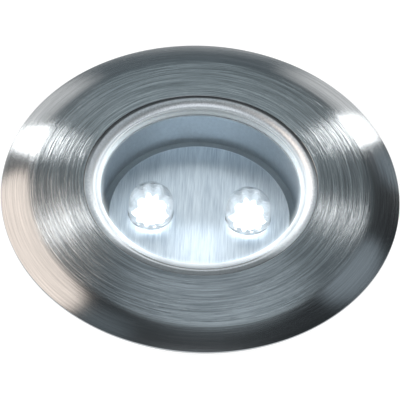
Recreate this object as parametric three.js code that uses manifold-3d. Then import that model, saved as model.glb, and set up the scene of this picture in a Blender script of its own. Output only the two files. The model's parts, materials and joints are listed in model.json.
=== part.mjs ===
// Recessed garden deck light: a turned steel bezel over a sealed well with two clear 5 mm LEDs.
// Millimetres, +Z up. The origin is on the light's axis, on the deck surface that the bezel rests on.
// The viewer stands on the -Y side, and the two LEDs lie side by side along X.
import * as THREE from 'three';
import { mergeVertices } from 'three/addons/utils/BufferGeometryUtils.js';
import Module from 'manifold-3d';

const wasm = await Module();
wasm.setup();

// Facets round each size of ring, and steps along each kind of arc
const largeSides = 56;
const mediumSides = 28;
const smallSides = 16;
const holeSides = 8;
const hexSides = 6;
const lipSteps = 4;
const sealSteps = 5;
const ledDomeSteps = 6;
const nutDomeSteps = 3;
const bendSteps = 3;

// Angles in degrees, and the distance within which two corners are one
const quarterTurn = 90;
const halfTurn = 180;
const fullTurn = 360;
const weldDistance = 1e-5;

// Clearances shared by the whole light
const seatGap = 0.1;
const slipGap = 0.15;
const cutOverrun = 1;

// Bezel: the brushed steel ring that shows, with a threaded neck under it
const flangeWidth = 8.6;
const bezelEdge = 0.2;
const bevelWidth = 3.15;
const bevelRise = 0.85;
const faceRise = 0.75;
const faceSwell = 0.06;
const neckWall = 0.72;
const neckThreadGap = 0.12;

// Collar: the satin ring with the rounded lip, which frames the lens and forms the well's wall
const collarRadius = 13.1;
const collarGap = 0.08;
const collarSink = 0.04;
const lipCorner = 0.12;
const lipShoulder = 0.3;
const lipWidth = 1.25;
const lipDrop = 0.62;
const ledgeWidth = 0.55;
const wellTaper = 0.2;
const collarFlangeThickness = 0.8;

// Ring seal in a groove round the collar
const ringSealDepth = 3.8;
const ringGrooveWidth = 1;
const ringGrooveDepth = 0.64;
const ringSealShare = 0.93;

// Lens: a clear disc with a bevelled rim, lying on a thin gasket
const lensGap = 0.15;
const lensSink = 0.21;
const lensThickness = 1.5;
const lensBevelWidth = 0.42;
const lensBevelHeight = 0.37;
const lensGasketThickness = 0.3;

// Reflector plate and the dark gasket round its rim
const plateInset = 0.9;
const plateThickness = 0.9;
const plateDepth = 6.04;
const plateGasketStep = 0.2;

// LEDs: clear 5 mm domes on a rim flange, with a lead frame inside
const ledPlaceShare = 0.5441;
const ledRadius = 2.5;
const ledLength = 8.6;
const ledProud = 4.1;
const ledFlangeRadius = 2.9;
const ledFlangeThickness = 1;
const ledHoleGap = 0.12;
const leadPitch = 2.54;
const leadThickness = 0.5;
const leadTail = 0.9;
const anvilHeight = 3.6;
const anvilReach = 1.75;
const anvilSplit = 0.9;
const anvilThickness = 1;
const cupRadius = 0.75;
const cupHeight = 0.9;
const cupBowlShare = 0.72;
const pocketGap = 0.12;

// Carrier block under the plate and the circuit board under the LEDs
const carrierInset = 0.2;
const boardThickness = 1.2;
const boardInset = 0.3;
const leadHoleRadius = 0.45;
const partsRoom = 3.7;

// Parts soldered to the underside of the board
const solderGap = 0.1;
const resistorRadius = 1.15;
const resistorLength = 6.3;
const resistorNeckShare = 0.8;
const resistorCapShare = 0.22;
const resistorWireHalf = 0.3;
const resistorWireReach = 1.1;
const capacitorRadius = 1.6;
const capacitorHeight = 3.3;
const capacitorRim = 0.25;
const rectifierLength = 4.7;
const rectifierWidth = 3.9;
const rectifierHeight = 2.3;
const rectifierBevel = 0.4;
const rectifierLegWidth = 0.7;
const rectifierLegReach = 1;
const rectifierLegThickness = 0.25;
const partsGap = 0.3;

// Housing: a moulded cup that takes the bezel's neck, stepping in to a slim barrel
const cupWall = 0.8;
const rimSealThickness = 0.4;
const floorThickness = 1.5;
const cupChamfer = 0.8;
const barrelRoom = 0.75;
const barrelWall = 1.2;
const stepFillet = 0.7;
const bossRadius = 1.6;
const bossSink = 0.25;
const bossPilot = 0.8;
const bossPilotDepth = 3.2;
const gussetCount = 8;
const gussetThickness = 0.9;
const gussetReachShare = 0.62;
const gussetHeightShare = 0.34;

// Deck gasket in the bezel's underside
const deckGasketInset = 1.7;
const deckGasketShare = 0.3256;
const deckGasketThickness = 0.4;

// Base cover with its flat gasket and two countersunk screws
const baseGasketThickness = 0.4;
const coverThickness = 1.4;
const coverCorner = 0.3;
const screwRadius = 0.72;
const screwHeadRadius = 1.5;
const screwHeadHeight = 0.8;
const screwLength = 4;
const screwSlotWidth = 0.4;
const screwSlotDepth = 0.35;

// Cable gland in the middle of the cover: body, lock nut, split claws, seal and domed nut
const glandRadius = 2.9;
const glandBore = 1.95;
const glandFlats = 8;
const glandHexHeight = 1.8;
const glandThreadLength = 2.2;
const lockNutHeight = 1.3;
const clawLength = 1.6;
const clawRadius = 2.65;
const clawTipRadius = 2.25;
const clawSlotWidth = 0.45;
const clawSlotCount = 3;
const sealCableRadius = 1.4;
const sealWaist = 0.15;
const glandNutWall = 0.95;
const glandNutMouth = 1.9;
const glandNutLip = 0.8;
const glandNutDomeShare = 0.42;
const glandNutBlankShare = 1.2;
const glandThreadGap = 0.14;

// Spring clips: one strip of spring steel on each side, riveted at its foot to the barrel
const clipThickness = 0.4;
const clipWidth = 5;
const clipGap = 0.3;
const clipBend = 1.3;
const clipFootHalf = 1.5;
const clipElbowOut = 1.2;
const clipElbowDrop = 2.3;
const clipKneeOut = 1.8;
const clipCrestOut = 2.35;
const clipTipOut = 2.4;
const clipTipDepth = 2.4;
const clipKneeShare = 0.37;
const clipCrestShare = 0.83;
const padProud = 0.5;
const padWidth = 5.4;
const padMargin = 0.3;
const rivetHeight = 2;
const rivetRadius = 0.5;
const rivetHeadRadius = 1.1;
const rivetHeadHeight = 0.5;
const rivetGrip = 1.1;
const rivetHoleGap = 0.15;

// Radii and heights that follow from the sizes above
const deckTop = 0;
const faceTop = bezelEdge + bevelRise + faceRise;
const boreRadius = collarRadius + collarGap;
const neckRadius = boreRadius + neckWall;
const bezelRadius = neckRadius + flangeWidth;
const creaseRadius = bezelRadius - bevelWidth;
const deckGasketInner = neckRadius + deckGasketInset;
const deckGasketWidth = flangeWidth * deckGasketShare;
const collarTop = faceTop - collarSink;
const grooveFloor = collarRadius - ringGrooveDepth;
const pocketRadius = collarRadius - lipWidth;
const lipFoot = collarTop - lipDrop;
const lensRadius = pocketRadius - lensGap;
const lensTop = collarTop - lensSink;
const lensBottom = lensTop - lensThickness;
const ledgeHeight = lensBottom - lensGasketThickness;
const wellTopRadius = pocketRadius - ledgeWidth;
const wellFootRadius = wellTopRadius - wellTaper;
const plateRadius = wellFootRadius - plateInset;
const plateTop = lensTop - plateDepth;
const plateBottom = plateTop - plateThickness;
const collarBottom = plateTop - plateGasketStep;
const collarFlangeTop = collarBottom + collarFlangeThickness;
const neckBottom = collarFlangeTop + seatGap;
const cupBore = neckRadius + neckThreadGap;
const cupOuter = cupBore + cupWall;
const cupRim = deckTop - rimSealThickness;
const collarFlangeRadius = cupBore - slipGap;
const floorTop = plateBottom;
const floorBottom = floorTop - floorThickness;
const ledApex = plateTop + ledProud;
const ledFoot = ledApex - ledLength;
const ledX = plateRadius * ledPlaceShare;
const ledHoleRadius = ledRadius + ledHoleGap;
const carrierTop = plateBottom - seatGap;
const carrierBottom = ledFoot + ledFlangeThickness + seatGap;
const boardTop = ledFoot - seatGap;
const boardBottom = boardTop - boardThickness;
const barrelBore = ledX + ledFlangeRadius + barrelRoom;
const barrelOuter = barrelBore + barrelWall;
const barrelBottom = boardBottom - partsRoom;
const bossY = barrelBore - bossRadius + bossSink;
const coverTop = barrelBottom - baseGasketThickness;
const coverBottom = coverTop - coverThickness;
const partsRowY = bossY - bossRadius - rectifierWidth / 2 - slipGap;
const capacitorX = rectifierLength / 2 + rectifierLegReach + partsGap + capacitorRadius;
const screwHoleRadius = screwRadius + slipGap;
const rivetZ = barrelBottom + rivetHeight;
const padFace = barrelOuter + padProud;

// Finishes
const brushedSteel = { color: 0x8f949a, roughness: 0.32, metalness: 1 };
const satinSteel = { color: 0xc8ccd0, roughness: 0.42, metalness: 1 };
const springSteel = { color: 0xa9abad, roughness: 0.35, metalness: 1 };
const platedSteel = { color: 0xb4b2aa, roughness: 0.4, metalness: 1 };
const reflectorSheet = { color: 0xb7c1cd, roughness: 0.25, metalness: 1 };
const clearPlastic = { color: 0xf2f7fb, roughness: 0.04, metalness: 0, transparent: true, opacity: 0.3 };
const clearEpoxy = { color: 0xf6faff, roughness: 0.03, metalness: 0, transparent: true, opacity: 0.4 };
const darkRubber = { color: 0x1d2226, roughness: 0.75, metalness: 0 };
const blackNylon = { color: 0x202225, roughness: 0.55, metalness: 0 };
const clearSilicone = { color: 0xdde4e8, roughness: 0.45, metalness: 0 };
const boardMask = { color: 0xa9b3bc, roughness: 0.45, metalness: 0 };
const resistorBlue = { color: 0x7fa6bd, roughness: 0.5, metalness: 0 };
const moulding = { color: 0x18191b, roughness: 0.6, metalness: 0 };
const capacitorSleeve = { color: 0x23262e, roughness: 0.4, metalness: 0 };
const tinnedWire = { color: 0xc9ccce, roughness: 0.3, metalness: 1 };

const light = new THREE.Group();

// Turns a closed geometry into a solid for joining and cutting, with its faces pointing out
function solid(geometry) {
  const bare = geometry.clone();
  bare.deleteAttribute('normal');
  bare.deleteAttribute('uv');
  const merged = mergeVertices(bare, weldDistance);
  const places = merged.attributes.position;
  const index = merged.index.array;
  const corners = [];
  const a = new THREE.Vector3();
  const b = new THREE.Vector3();
  const c = new THREE.Vector3();
  let volume = 0;
  for (let i = 0; i < index.length; i += 3) {
    const [p, q, r] = [index[i], index[i + 1], index[i + 2]];
    if (p === q || q === r || r === p) continue;
    a.fromBufferAttribute(places, p);
    b.fromBufferAttribute(places, q);
    c.fromBufferAttribute(places, r);
    volume += a.dot(b.cross(c));
    corners.push(p, q, r);
  }
  if (volume < 0) corners.reverse();
  return new wasm.Manifold(new wasm.Mesh({
    numProp: 3,
    vertProperties: new Float32Array(places.array),
    triVerts: new Uint32Array(corners),
  }));
}

// Names a finished solid, gives it its material and adds it to the light
function addPiece(name, shape, finish) {
  const mesh = shape.getMesh();
  const geometry = new THREE.BufferGeometry();
  geometry.setAttribute('position', new THREE.BufferAttribute(new Float32Array(mesh.vertProperties), 3));
  geometry.setIndex(new THREE.BufferAttribute(new Uint32Array(mesh.triVerts), 1));
  geometry.computeVertexNormals();
  const piece = new THREE.Mesh(geometry, new THREE.MeshStandardMaterial(finish));
  piece.name = name;
  light.add(piece);
}

// Revolves a closed outline of [radius, height] points round the Z axis
function turned(outline, sides) {
  const points = [...outline, outline[0]].map(([radius, height]) => new THREE.Vector2(radius, height));
  return solid(new THREE.LatheGeometry(points, sides).rotateX(Math.PI / 2));
}

// A plain ring or disc between two heights
function ring(inner, outer, bottom, top, sides) {
  return turned([[inner, bottom], [outer, bottom], [outer, top], [inner, top]], sides);
}

// A round bar or hole standing at (x, y) between two heights
function rod(radius, bottom, top, x, y, sides) {
  return ring(0, radius, bottom, top, sides).translate([x, y, 0]);
}

// A shape with an upright round hole right through it, from below its bottom to above its top
function pierced(shape, radius, bottom, top, x, y, sides) {
  return shape.subtract(rod(radius, bottom - cutOverrun, top + cutOverrun, x, y, sides));
}

// A hexagonal bar across its flats, with flats facing +X and -X
function hexBar(flats, bottom, top) {
  const corner = flats / 2 / Math.cos(Math.PI / hexSides);
  return ring(0, corner, bottom, top, hexSides);
}

// A block given by its low and high corners
function block(low, high) {
  const size = high.map((value, i) => value - low[i]);
  const middle = high.map((value, i) => (value + low[i]) / 2);
  return solid(new THREE.BoxGeometry(...size).translate(...middle));
}

// An outline in the XZ plane, given a width along Y and centred on the plane
function plateXZ(outline, width) {
  const shape = new THREE.Shape(outline.map(([x, z]) => new THREE.Vector2(x, z)));
  const geometry = new THREE.ExtrudeGeometry(shape, { depth: width, bevelEnabled: false });
  return solid(geometry.rotateX(Math.PI / 2).translate(0, width / 2, 0));
}

// Points along an arc of an ellipse, from one angle to another in degrees
function arcPoints(middleR, middleZ, reachR, reachZ, from, to, steps) {
  const points = [];
  for (let i = 0; i <= steps; i += 1) {
    const angle = THREE.MathUtils.degToRad(from + (to - from) * i / steps);
    points.push([middleR + reachR * Math.cos(angle), middleZ + reachZ * Math.sin(angle)]);
  }
  return points;
}

// Turns a solid half round the Z axis, from the +X side to the -X side
function facing(shape, side) {
  return side > 0 ? shape : shape.rotate([0, 0, halfTurn]);
}

const sides = [['left', -1], ['right', 1]];

// Bezel: a thin outer edge, a bevel up to a soft crease, a gently swelling face and the neck below
function makeBezel() {
  const grooveOuter = deckGasketInner + deckGasketWidth + slipGap;
  const grooveInner = deckGasketInner - slipGap;
  const grooveTop = deckTop + deckGasketThickness + seatGap / 2;
  const creaseHeight = bezelEdge + bevelRise;
  const faceMiddle = (creaseRadius + boreRadius) / 2;
  const faceMiddleHeight = (creaseHeight + faceTop) / 2 + faceSwell;
  return turned([
    [boreRadius, neckBottom],
    [neckRadius, neckBottom],
    [neckRadius, deckTop],
    [grooveInner, deckTop],
    [grooveInner, grooveTop],
    [grooveOuter, grooveTop],
    [grooveOuter, deckTop],
    [bezelRadius, deckTop],
    [bezelRadius, bezelEdge],
    [creaseRadius, creaseHeight],
    [faceMiddle, faceMiddleHeight],
    [boreRadius, faceTop],
  ], largeSides);
}

function makeDeckGasket() {
  const outer = deckGasketInner + deckGasketWidth;
  return ring(deckGasketInner, outer, deckTop, deckTop + deckGasketThickness, largeSides);
}

// Collar: the lip rolls over and down to the lens, the well narrows a little to its foot,
// and a flange at the bottom is trapped under the bezel's neck
function makeCollar() {
  const sealHeight = collarTop - ringSealDepth;
  const crest = collarRadius - lipCorner;
  const reach = lipWidth - lipCorner;
  return turned([
    ...arcPoints(crest, lipFoot, reach, lipDrop, quarterTurn, halfTurn, lipSteps),
    [pocketRadius, ledgeHeight],
    [wellTopRadius, ledgeHeight],
    [wellFootRadius, collarBottom],
    [collarFlangeRadius, collarBottom],
    [collarFlangeRadius, collarFlangeTop],
    [collarRadius, collarFlangeTop],
    [collarRadius, sealHeight - ringGrooveWidth / 2],
    [grooveFloor, sealHeight - ringGrooveWidth / 2],
    [grooveFloor, sealHeight + ringGrooveWidth / 2],
    [collarRadius, sealHeight + ringGrooveWidth / 2],
    [collarRadius, collarTop - lipShoulder],
  ], largeSides);
}

function makeRingSeal() {
  const middle = (grooveFloor + boreRadius) / 2;
  const height = collarTop - ringSealDepth;
  const radius = (boreRadius - grooveFloor) / 2 * ringSealShare;
  const lastAngle = fullTurn * sealSteps / (sealSteps + 1);
  return turned(arcPoints(middle, height, radius, radius, 0, lastAngle, sealSteps), largeSides);
}

function makeLens() {
  return turned([
    [0, lensBottom],
    [lensRadius, lensBottom],
    [lensRadius, lensTop - lensBevelHeight],
    [lensRadius - lensBevelWidth, lensTop],
    [0, lensTop],
  ], largeSides);
}

// Thin clear gasket on the collar's ledge, under the lens
function makeLensGasket() {
  return ring(wellTopRadius, lensRadius, ledgeHeight, lensBottom, largeSides);
}

function makeReflectorPlate() {
  let plate = ring(0, plateRadius, plateBottom, plateTop, largeSides);
  for (const [, side] of sides) {
    plate = pierced(plate, ledHoleRadius, plateBottom, plateTop, side * ledX, 0, mediumSides);
  }
  return plate;
}

// Gasket round the plate, pressed between the collar's foot and the housing's floor
function makePlateGasket() {
  return ring(plateRadius + slipGap, collarFlangeRadius, floorTop, collarBottom, largeSides);
}

// Outline of the lead frame's pocket, which both halves of the frame stand in
function framePocket() {
  const top = ledFoot + anvilHeight + pocketGap;
  const half = anvilReach + pocketGap;
  const depth = leadThickness / 2 + pocketGap;
  const slot = block([-half, -depth, ledFoot - cutOverrun], [half, depth, top]);
  const cup = rod(cupRadius + pocketGap, top - pocketGap, top + cupHeight, 0, 0, smallSides);
  return slot.add(cup);
}

// LED body: rim flange, straight wall and dome, hollowed for the lead frame from below
function makeLed(side) {
  const domeFoot = ledApex - ledRadius;
  const dome = arcPoints(0, domeFoot, ledRadius, ledRadius, 0, quarterTurn, ledDomeSteps);
  dome[dome.length - 1][0] = 0;
  const body = turned([
    [0, ledFoot],
    [ledFlangeRadius, ledFoot],
    [ledFlangeRadius, ledFoot + ledFlangeThickness],
    [ledRadius, ledFoot + ledFlangeThickness],
    ...dome,
  ], mediumSides);
  return body.subtract(framePocket()).translate([side * ledX, 0, 0]);
}

// Cathode: a leg that widens to an anvil under the die's cup
function makeCathode(side) {
  const legMiddle = leadPitch / 2;
  const legHalf = leadThickness / 2;
  const foot = boardBottom - leadTail;
  const anvilFoot = ledFoot + anvilHeight - anvilThickness;
  const anvilTop = ledFoot + anvilHeight;
  const frame = plateXZ([
    [legMiddle - legHalf, foot],
    [legMiddle + legHalf, foot],
    [legMiddle + legHalf, anvilFoot - anvilThickness],
    [anvilReach, anvilFoot],
    [anvilReach, anvilTop],
    [-legHalf, anvilTop],
    [-legHalf, anvilFoot],
    [legMiddle - legHalf, anvilFoot - anvilThickness],
  ], leadThickness);
  const cup = turned([
    [0, anvilTop - legHalf],
    [legHalf, anvilTop - legHalf],
    [cupRadius, anvilTop + cupHeight / 2],
    [cupRadius, anvilTop + cupHeight - pocketGap],
    [cupRadius * cupBowlShare, anvilTop + cupHeight - pocketGap],
    [legHalf, anvilTop + cupHeight / 2],
    [0, anvilTop + cupHeight / 2],
  ], smallSides);
  return frame.add(cup).translate([side * ledX, 0, 0]);
}

// Anode: the plain leg beside it, with a small flag for the bond wire
function makeAnode(side) {
  const legMiddle = -leadPitch / 2;
  const legHalf = leadThickness / 2;
  const foot = boardBottom - leadTail;
  const flagFoot = ledFoot + anvilHeight - anvilThickness;
  const anode = plateXZ([
    [legMiddle - legHalf, foot],
    [legMiddle + legHalf, foot],
    [legMiddle + legHalf, flagFoot],
    [-anvilSplit + legHalf, flagFoot + legHalf],
    [-anvilSplit + legHalf, ledFoot + anvilHeight],
    [-anvilReach, ledFoot + anvilHeight],
    [-anvilReach, flagFoot],
    [legMiddle - legHalf, flagFoot - anvilThickness],
  ], leadThickness);
  return anode.translate([side * ledX, 0, 0]);
}

// Carrier: the black block that holds both LEDs upright under the plate
function makeCarrier() {
  let carrier = ring(0, barrelBore - carrierInset, carrierBottom, carrierTop, largeSides);
  for (const [, side] of sides) {
    carrier = pierced(carrier, ledHoleRadius, carrierBottom, carrierTop, side * ledX, 0, mediumSides);
  }
  return carrier;
}

// Where each LED's two legs pass through the board
function leadPlaces() {
  const places = [];
  for (const [, side] of sides) {
    places.push(side * ledX - leadPitch / 2);
    places.push(side * ledX + leadPitch / 2);
  }
  return places;
}

function makeBoard() {
  let board = ring(0, barrelBore - boardInset, boardBottom, boardTop, largeSides);
  for (const x of leadPlaces()) {
    board = pierced(board, leadHoleRadius, boardBottom, boardTop, x, 0, holeSides);
  }
  return board;
}

// Resistor lying along X in front of the LED legs, its two wires bent up to the board
function makeResistor() {
  const axisZ = boardBottom - solderGap - resistorRadius;
  const half = resistorLength / 2;
  const cap = resistorLength * resistorCapShare;
  const waist = resistorRadius * resistorNeckShare;
  const wireEnd = half + resistorWireReach;
  const body = turned([
    [0, -half],
    [resistorRadius, -half],
    [resistorRadius, cap - half],
    [waist, cap - half + resistorWireHalf],
    [waist, half - cap - resistorWireHalf],
    [resistorRadius, half - cap],
    [resistorRadius, half],
    [0, half],
  ], smallSides).rotate([0, quarterTurn, 0]);
  const wire = block(
    [-wireEnd, -resistorWireHalf, -resistorWireHalf],
    [wireEnd, resistorWireHalf, resistorWireHalf],
  );
  let resistor = body.add(wire);
  for (const end of [-wireEnd, wireEnd - 2 * resistorWireHalf]) {
    const leg = block(
      [end, -resistorWireHalf, -resistorWireHalf],
      [end + 2 * resistorWireHalf, resistorWireHalf, resistorRadius + solderGap],
    );
    resistor = resistor.add(leg);
  }
  return resistor.translate([0, -partsRowY, axisZ]);
}

function makeCapacitor() {
  const top = boardBottom - solderGap;
  const bottom = top - capacitorHeight;
  const capacitor = turned([
    [0, bottom + capacitorRim],
    [capacitorRadius - 2 * capacitorRim, bottom + capacitorRim],
    [capacitorRadius - capacitorRim, bottom],
    [capacitorRadius, bottom + capacitorRim],
    [capacitorRadius, top],
    [0, top],
  ], smallSides);
  return capacitor.translate([-capacitorX, partsRowY, 0]);
}

// Bridge rectifier: a moulded block with sloping sides and four flat legs
function makeRectifier() {
  const top = boardBottom - solderGap;
  const bottom = top - rectifierHeight;
  const half = rectifierLength / 2;
  const waistZ = (top + bottom) / 2;
  let rectifier = plateXZ([
    [rectifierBevel - half, bottom],
    [half - rectifierBevel, bottom],
    [half, waistZ],
    [half - rectifierBevel, top],
    [rectifierBevel - half, top],
    [-half, waistZ],
  ], rectifierWidth);
  for (const side of [-1, 1]) {
    for (const row of [-1, 1]) {
      const y = row * rectifierWidth / 4;
      const inner = side * (half - rectifierBevel);
      const outer = side * (half + rectifierLegReach);
      const leg = block(
        [Math.min(inner, outer), y - rectifierLegWidth / 2, top - rectifierLegThickness],
        [Math.max(inner, outer), y + rectifierLegWidth / 2, top],
      );
      rectifier = rectifier.add(leg);
    }
  }
  return rectifier.translate([0, partsRowY, 0]);
}

// Gussets: thin triangular ribs that stiffen the step between the cup and the barrel
function addGussets(housing) {
  const reach = (cupOuter - barrelOuter) * gussetReachShare;
  const height = (floorBottom - barrelBottom) * gussetHeightShare;
  const rib = plateXZ([
    [barrelOuter - barrelWall / 2, floorBottom + floorThickness / 2],
    [barrelOuter - barrelWall / 2, floorBottom - height],
    [barrelOuter, floorBottom - height],
    [barrelOuter + reach, floorBottom],
    [barrelOuter + reach, floorBottom + floorThickness / 2],
  ], gussetThickness);
  let ribbed = housing;
  for (let i = 0; i < gussetCount; i += 1) {
    const turn = fullTurn * (i + 1 / 2) / gussetCount;
    ribbed = ribbed.add(rib.rotate([0, 0, turn]));
  }
  return ribbed;
}

// Housing: cup, floor and barrel in one moulding, with screw bosses inside and clip pads outside
function makeHousing() {
  let housing = turned([
    [barrelBore, barrelBottom],
    [barrelOuter, barrelBottom],
    [barrelOuter, floorBottom - stepFillet],
    [barrelOuter + stepFillet, floorBottom],
    [cupOuter - cupChamfer, floorBottom],
    [cupOuter, floorBottom + cupChamfer],
    [cupOuter, cupRim],
    [cupBore, cupRim],
    [cupBore, floorTop],
    [barrelBore, floorTop],
  ], largeSides);
  housing = addGussets(housing);
  for (const end of [-1, 1]) {
    const boss = rod(bossRadius, barrelBottom, boardBottom, 0, end * bossY, smallSides);
    const pilotTop = barrelBottom + bossPilotDepth;
    const pilot = rod(bossPilot, barrelBottom - cutOverrun, pilotTop, 0, end * bossY, holeSides);
    housing = housing.add(boss).subtract(pilot);
  }
  for (const [, side] of sides) {
    housing = housing.add(facing(makeClipPad(), side));
    housing = housing.subtract(facing(rivetHole(), side));
  }
  return housing;
}

// Flat pad on the barrel for a clip's foot, and the blind hole for its rivet
function makeClipPad() {
  const half = padWidth / 2;
  return block(
    [barrelOuter - barrelWall / 2, -half, rivetZ - clipFootHalf - padMargin],
    [padFace, half, rivetZ + clipFootHalf],
  );
}

// A short bar along +X at the rivet's height
function barAlongX(radius, from, to, sideCount) {
  return ring(0, radius, from, to, sideCount).rotate([0, quarterTurn, 0]).translate([0, 0, rivetZ]);
}

function rivetHole() {
  const depth = rivetGrip + rivetHoleGap;
  return barAlongX(rivetRadius + rivetHoleGap, padFace - depth, padFace + cutOverrun, holeSides);
}

// Centre line of a clip, from its foot up and out past the cup to its tip under the bezel
function clipPath() {
  const footX = padFace + clipGap + clipThickness / 2;
  const elbowZ = floorBottom - clipElbowDrop;
  const tipZ = deckTop - clipTipDepth;
  const corners = [
    [footX, rivetZ - clipFootHalf],
    [footX, rivetZ + clipFootHalf],
    [cupOuter + clipElbowOut, elbowZ],
    [cupOuter + clipKneeOut, elbowZ + (tipZ - elbowZ) * clipKneeShare],
    [cupOuter + clipCrestOut, elbowZ + (tipZ - elbowZ) * clipCrestShare],
    [cupOuter + clipTipOut, tipZ],
  ].map(([x, z]) => new THREE.Vector2(x, z));
  const points = [corners[0]];
  for (let i = 1; i < corners.length - 1; i += 1) {
    const before = corners[i - 1].clone().sub(corners[i]);
    const after = corners[i + 1].clone().sub(corners[i]);
    const bend = Math.min(clipBend, before.length() / 2, after.length() / 2);
    const from = corners[i].clone().add(before.setLength(bend));
    const to = corners[i].clone().add(after.setLength(bend));
    points.push(...new THREE.QuadraticBezierCurve(from, corners[i], to).getPoints(bendSteps));
  }
  points.push(corners[corners.length - 1]);
  return points;
}

// Spring clip: the centre line given its thickness to both sides and its width along Y
function makeClip() {
  const path = clipPath();
  const outer = [];
  const inner = [];
  path.forEach((point, i) => {
    const before = path[Math.max(i - 1, 0)];
    const after = path[Math.min(i + 1, path.length - 1)];
    const along = after.clone().sub(before).normalize();
    const across = new THREE.Vector2(along.y, -along.x).multiplyScalar(clipThickness / 2);
    outer.push([point.x + across.x, point.y + across.y]);
    inner.unshift([point.x - across.x, point.y - across.y]);
  });
  const strip = plateXZ([...outer, ...inner], clipWidth);
  const outerFace = padFace + clipGap + clipThickness;
  const hole = barAlongX(rivetRadius + rivetHoleGap, padFace, outerFace + cutOverrun, holeSides);
  return strip.subtract(hole);
}

// Rivet: its shank in the housing's pad and its domed head outside the clip
function makeRivet() {
  const headFoot = padFace + 2 * clipGap + clipThickness;
  const rivet = turned([
    [0, padFace - rivetGrip],
    [rivetRadius, padFace - rivetGrip],
    [rivetRadius, headFoot],
    [rivetHeadRadius, headFoot],
    [rivetHeadRadius, headFoot + rivetHeadHeight / 3],
    [rivetHeadRadius / 2, headFoot + rivetHeadHeight],
    [0, headFoot + rivetHeadHeight],
  ], smallSides);
  return rivet.rotate([0, quarterTurn, 0]).translate([0, 0, rivetZ]);
}

// Base cover: a disc with a rounded lower corner, the gland's hole and two countersunk holes
function makeCover() {
  let cover = turned([
    [glandRadius + slipGap, coverBottom],
    [barrelOuter - coverCorner, coverBottom],
    [barrelOuter, coverBottom + coverCorner],
    [barrelOuter, coverTop],
    [glandRadius + slipGap, coverTop],
  ], largeSides);
  for (const end of [-1, 1]) {
    const sink = screwHeadHeight + slipGap;
    const wide = screwHeadRadius + slipGap;
    const hole = turned([
      [0, coverBottom - cutOverrun],
      [wide, coverBottom - cutOverrun],
      [wide, coverBottom],
      [screwHoleRadius, coverBottom + sink],
      [screwHoleRadius, coverTop + cutOverrun],
      [0, coverTop + cutOverrun],
    ], smallSides);
    cover = cover.subtract(hole.translate([0, end * bossY, 0]));
  }
  return cover;
}

// Countersunk screw, head down, with a plain driver slot
function makeScrew(end) {
  const headTop = coverBottom + screwHeadHeight;
  const screw = turned([
    [0, coverBottom],
    [screwHeadRadius, coverBottom],
    [screwRadius, headTop],
    [screwRadius, coverBottom + screwLength],
    [0, coverBottom + screwLength],
  ], smallSides);
  const slot = block(
    [-screwHeadRadius - cutOverrun, -screwSlotWidth / 2, coverBottom - cutOverrun],
    [screwHeadRadius + cutOverrun, screwSlotWidth / 2, coverBottom + screwSlotDepth],
  );
  return screw.subtract(slot).translate([0, end * bossY, 0]);
}

// Heights down the cable gland, below the cover
const glandHexBottom = coverBottom - glandHexHeight;
const glandThreadBottom = glandHexBottom - glandThreadLength;
const clawBottom = glandThreadBottom - clawLength;
const glandTop = coverTop + lockNutHeight + slipGap;

// Gland body: thread through the cover, hexagon under it, lower thread and slotted claws
function makeGlandBody() {
  let body = turned([
    [0, clawBottom],
    [clawTipRadius, clawBottom],
    [clawRadius, glandThreadBottom],
    [glandRadius, glandThreadBottom],
    [glandRadius, glandTop],
    [0, glandTop],
  ], mediumSides);
  body = body.add(hexBar(glandFlats, glandHexBottom, coverBottom));
  body = pierced(body, glandBore, clawBottom, glandTop, 0, 0, mediumSides);
  for (let i = 0; i < clawSlotCount; i += 1) {
    const slot = block(
      [-glandRadius - cutOverrun, -clawSlotWidth / 2, clawBottom - cutOverrun],
      [glandRadius + cutOverrun, clawSlotWidth / 2, glandThreadBottom],
    );
    body = body.subtract(slot.rotate([0, 0, halfTurn * i / clawSlotCount]));
  }
  return body;
}

// Rubber seal inside the claws, waisted where it grips the cable
function makeGlandSeal() {
  const outer = glandBore - slipGap;
  const top = glandHexBottom;
  const bottom = clawBottom;
  const middle = (top + bottom) / 2;
  return turned([
    [sealCableRadius + sealWaist, bottom],
    [outer, bottom],
    [outer, top],
    [sealCableRadius + sealWaist, top],
    [sealCableRadius, middle],
  ], mediumSides);
}

// Domed nut over the claws: a hexagon cut to a dome, bored for the thread and the claws
function makeGlandNut() {
  const bore = glandRadius + glandThreadGap;
  const nutTop = glandHexBottom - seatGap;
  const nutBottom = clawBottom - glandNutLip;
  const outer = bore + glandNutWall;
  const domeHeight = (nutTop - nutBottom) * glandNutDomeShare;
  const mouth = glandNutMouth + slipGap;
  const domeFoot = mouth + slipGap;
  const reach = outer - mouth;
  const blank = turned([
    [0, nutBottom],
    ...arcPoints(domeFoot, nutBottom + domeHeight, reach, domeHeight, -quarterTurn, 0, nutDomeSteps),
    [outer * glandNutBlankShare, nutTop],
    [0, nutTop],
  ], mediumSides);
  const hex = hexBar(2 * outer, nutBottom - cutOverrun, nutTop + cutOverrun);
  const inside = turned([
    [0, nutBottom - cutOverrun],
    [mouth, nutBottom - cutOverrun],
    [mouth, nutBottom + glandNutLip / 2],
    [clawTipRadius + glandThreadGap, clawBottom],
    [bore, glandThreadBottom],
    [bore, nutTop + cutOverrun],
    [0, nutTop + cutOverrun],
  ], mediumSides);
  return blank.intersect(hex).subtract(inside);
}

function makeLockNut() {
  const nut = hexBar(glandFlats, coverTop, coverTop + lockNutHeight);
  return pierced(nut, glandRadius + glandThreadGap, coverTop, glandTop, 0, 0, mediumSides);
}

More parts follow.
